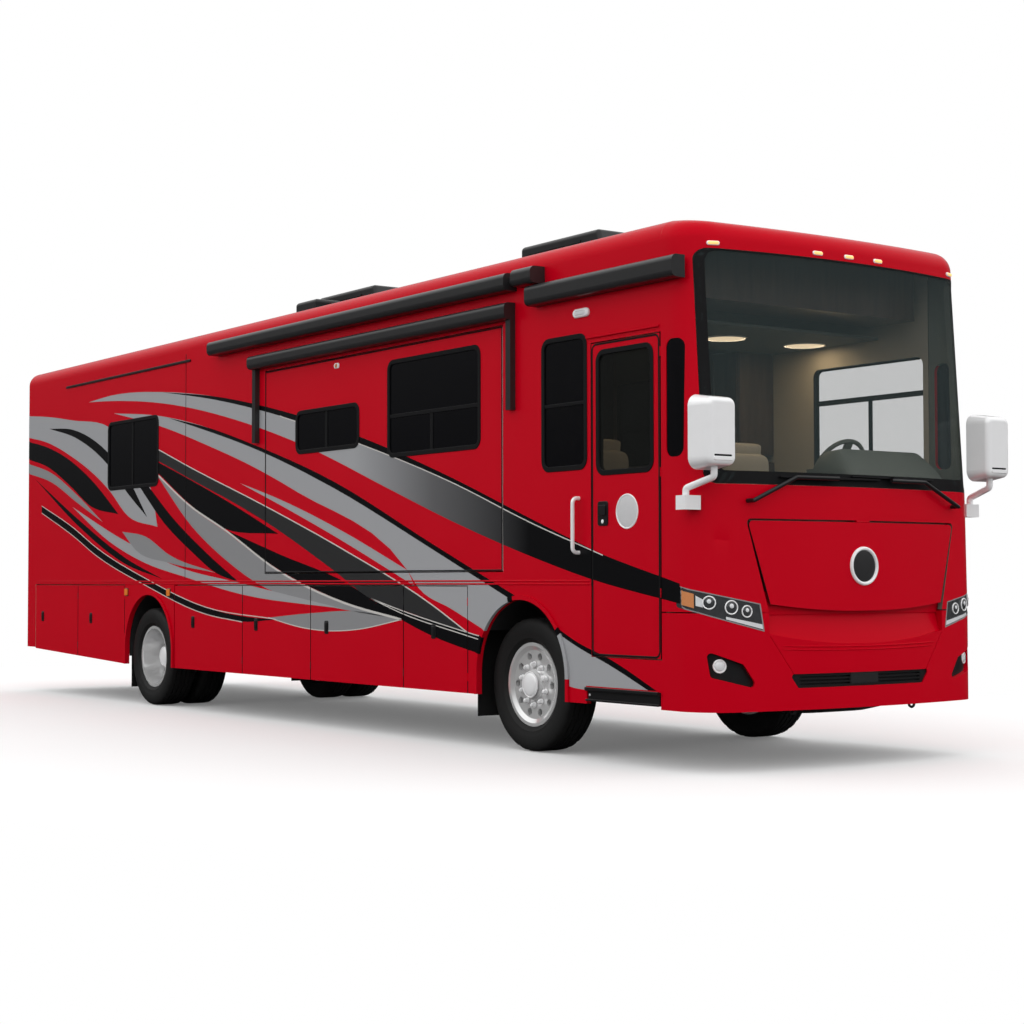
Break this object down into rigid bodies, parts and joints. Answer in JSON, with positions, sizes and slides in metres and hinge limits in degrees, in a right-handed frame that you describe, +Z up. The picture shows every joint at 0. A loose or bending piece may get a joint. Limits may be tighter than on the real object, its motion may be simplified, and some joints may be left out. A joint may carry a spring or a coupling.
{
  "type": "motorhome",
  "caption": "Class A motorhome on a rear-engined bus chassis, with a slide-out room, hinged entry door, luggage bays, hood and engine hatch, steered front wheels and twin rear wheels.",
  "frame": {"origin": "on the ground under the middle of the overall box", "axes": "+X forward, the way it drives, +Y to its left, +Z up"},
  "size_m": [11.8, 2.832, 3.878],
  "materials": {
    "body_paint": "gloss red clear-coated paint with painted stripes",
    "frame_paint": "black chassis paint",
    "roof_shell": "white roof sheet",
    "dark_glass": "tinted safety glass",
    "clear_glass": "clear laminated glass",
    "black_trim": "satin black",
    "bright_trim": "bright plating",
    "lamp_clear": "clear lens over bright reflectors",
    "lamp_red": "red lens",
    "wheel_alloy": "polished",
    "tyre": "black rubber",
    "flap_rubber": "black sheet",
    "cast_metal": "cast",
    "cab_trim": "grained",
    "seat_leather": "tan hide",
    "cabinet_wood": "dark lacquered veneer",
    "floor_board": "boards"
  },
  "bodies": {
    "coach": {"chassis_frame": "frame_paint", "axles": "cast_metal", "engine": "cast_metal", "basement": "frame_paint", "bulkheads": "frame_paint", "floor_deck": "floor_board", "right_wall": "body_paint", "left_wall": "body_paint", "roof": "roof_shell", "front_cap": "body_paint", "front_bumper": "body_paint", "rear_cap": "body_paint", "skirts": "body_paint", "entry_step": "black_trim", "windshield": "clear_glass", "side_glass": "dark_glass", "awnings": "black_trim", "roof_units": "black_trim", "mirrors": "bright_trim", "front_lamps": "lamp_clear", "rear_lamps": "lamp_red", "grille": "black_trim", "wipers": "black_trim", "grab_handle": "bright_trim", "mud_flaps": "flap_rubber", "dashboard": "cab_trim", "steering_wheel": "cab_trim", "seats": "seat_leather", "cabinets": "cabinet_wood"},
    "slide_out": {"slide_room": "body_paint", "slide_glass": "dark_glass"},
    "door": {"entry_door": "body_paint", "door_glass": "dark_glass"},
    "hood": {"hood": "body_paint"},
    "engine_lid": {"engine_hatch": "body_paint"},
    "bay_door_right_1": {"bay_door_right_1": "body_paint"},
    "bay_door_left_1": {"bay_door_left_1": "body_paint"},
    "bay_door_right_2": {"bay_door_right_2": "body_paint"},
    "bay_door_left_2": {"bay_door_left_2": "body_paint"},
    "bay_door_right_3": {"bay_door_right_3": "body_paint"},
    "bay_door_left_3": {"bay_door_left_3": "body_paint"},
    "bay_door_right_4": {"bay_door_right_4": "body_paint"},
    "bay_door_left_4": {"bay_door_left_4": "body_paint"},
    "bay_door_right_5": {"bay_door_right_5": "body_paint"},
    "bay_door_left_5": {"bay_door_left_5": "body_paint"},
    "bay_door_right_6": {"bay_door_right_6": "body_paint"},
    "bay_door_left_6": {"bay_door_left_6": "body_paint"},
    "knuckle_right": {"knuckle_right": "cast_metal"},
    "front_wheel_right": {"front_wheel_right": "wheel_alloy", "front_tyre_right": "tyre"},
    "rear_wheel_right": {"rear_wheels_right": "wheel_alloy", "rear_tyres_right": "tyre"},
    "knuckle_left": {"knuckle_left": "cast_metal"},
    "front_wheel_left": {"front_wheel_left": "wheel_alloy", "front_tyre_left": "tyre"},
    "rear_wheel_left": {"rear_wheels_left": "wheel_alloy", "rear_tyres_left": "tyre"}
  },
  "joints": [
    {"name": "slide_out_travel", "type": "slide", "parent": "coach", "child": "slide_out", "axis": [0, -1, 0], "range_m": [0, 0.7]},
    {"name": "entry_door_hinge", "type": "hinge", "parent": "coach", "child": "door", "pos_m": [5.294, -1.275, 1.77], "axis": [0, 0, 1], "range_deg": [0, 90]},
    {"name": "hood_hinge", "type": "hinge", "parent": "coach", "child": "hood", "pos_m": [5.83832, 0, 1.604], "axis": [0, -1, 0], "range_deg": [0, 80]},
    {"name": "engine_hatch_hinge", "type": "hinge", "parent": "coach", "child": "engine_lid", "pos_m": [-5.896, 0, 1.564], "axis": [0, 1, 0], "range_deg": [0, 80]},
    {"name": "bay_door_right_1_hinge", "type": "hinge", "parent": "coach", "child": "bay_door_right_1", "pos_m": [3.065, -1.275, 0.785], "axis": [0, 0, 1], "range_deg": [0, 90]},
    {"name": "bay_door_left_1_hinge", "type": "hinge", "parent": "coach", "child": "bay_door_left_1", "pos_m": [3.065, 1.275, 0.785], "axis": [0, 0, -1], "range_deg": [0, 90]},
    {"name": "bay_door_right_2_hinge", "type": "hinge", "parent": "coach", "child": "bay_door_right_2", "pos_m": [2.16788, -1.275, 0.785], "axis": [0, 0, 1], "range_deg": [0, 90]},
    {"name": "bay_door_left_2_hinge", "type": "hinge", "parent": "coach", "child": "bay_door_left_2", "pos_m": [2.16788, 1.275, 0.785], "axis": [0, 0, -1], "range_deg": [0, 90]},
    {"name": "bay_door_right_3_hinge", "type": "hinge", "parent": "coach", "child": "bay_door_right_3", "pos_m": [0.69116, -1.275, 0.785], "axis": [0, 0, 1], "range_deg": [0, 90]},
    {"name": "bay_door_left_3_hinge", "type": "hinge", "parent": "coach", "child": "bay_door_left_3", "pos_m": [0.69116, 1.275, 0.785], "axis": [0, 0, -1], "range_deg": [0, 90]},
    {"name": "bay_door_right_4_hinge", "type": "hinge", "parent": "coach", "child": "bay_door_right_4", "pos_m": [-0.55876, -1.275, 0.785], "axis": [0, 0, 1], "range_deg": [0, 90]},
    {"name": "bay_door_left_4_hinge", "type": "hinge", "parent": "coach", "child": "bay_door_left_4", "pos_m": [-0.55876, 1.275, 0.785], "axis": [0, 0, -1], "range_deg": [0, 90]},
    {"name": "bay_door_right_5_hinge", "type": "hinge", "parent": "coach", "child": "bay_door_right_5", "pos_m": [-3.145, -1.275, 0.785], "axis": [0, 0, 1], "range_deg": [0, 90]},
    {"name": "bay_door_left_5_hinge", "type": "hinge", "parent": "coach", "child": "bay_door_left_5", "pos_m": [-3.145, 1.275, 0.785], "axis": [0, 0, -1], "range_deg": [0, 90]},
    {"name": "bay_door_right_6_hinge", "type": "hinge", "parent": "coach", "child": "bay_door_right_6", "pos_m": [-4.3575, -1.275, 0.785], "axis": [0, 0, 1], "range_deg": [0, 90]},
    {"name": "bay_door_left_6_hinge", "type": "hinge", "parent": "coach", "child": "bay_door_left_6", "pos_m": [-4.3575, 1.275, 0.785], "axis": [0, 0, -1], "range_deg": [0, 90]},
    {"name": "steer_right", "type": "hinge", "parent": "coach", "child": "knuckle_right", "pos_m": [3.69, -0.9, 0.478], "axis": [0, 0, 1], "range_deg": [-40, 40]},
    {"name": "front_wheel_right_spin", "type": "hinge", "parent": "knuckle_right", "child": "front_wheel_right", "pos_m": [3.69, -1.03, 0.478], "axis": [0, 1, 0], "continuous": true},
    {"name": "rear_wheel_right_spin", "type": "hinge", "parent": "coach", "child": "rear_wheel_right", "pos_m": [-2.61, -0.9185, 0.478], "axis": [0, 1, 0], "continuous": true},
    {"name": "steer_left", "type": "hinge", "parent": "coach", "child": "knuckle_left", "pos_m": [3.69, 0.9, 0.478], "axis": [0, 0, 1], "range_deg": [-40, 40]},
    {"name": "front_wheel_left_spin", "type": "hinge", "parent": "knuckle_left", "child": "front_wheel_left", "pos_m": [3.69, 1.03, 0.478], "axis": [0, 1, 0], "continuous": true},
    {"name": "rear_wheel_left_spin", "type": "hinge", "parent": "coach", "child": "rear_wheel_left", "pos_m": [-2.61, 0.9185, 0.478], "axis": [0, 1, 0], "continuous": true}
  ],
  "couplings": [
    {"joint": "steer_left", "follows": "steer_right", "ratio": 1}
  ]
}
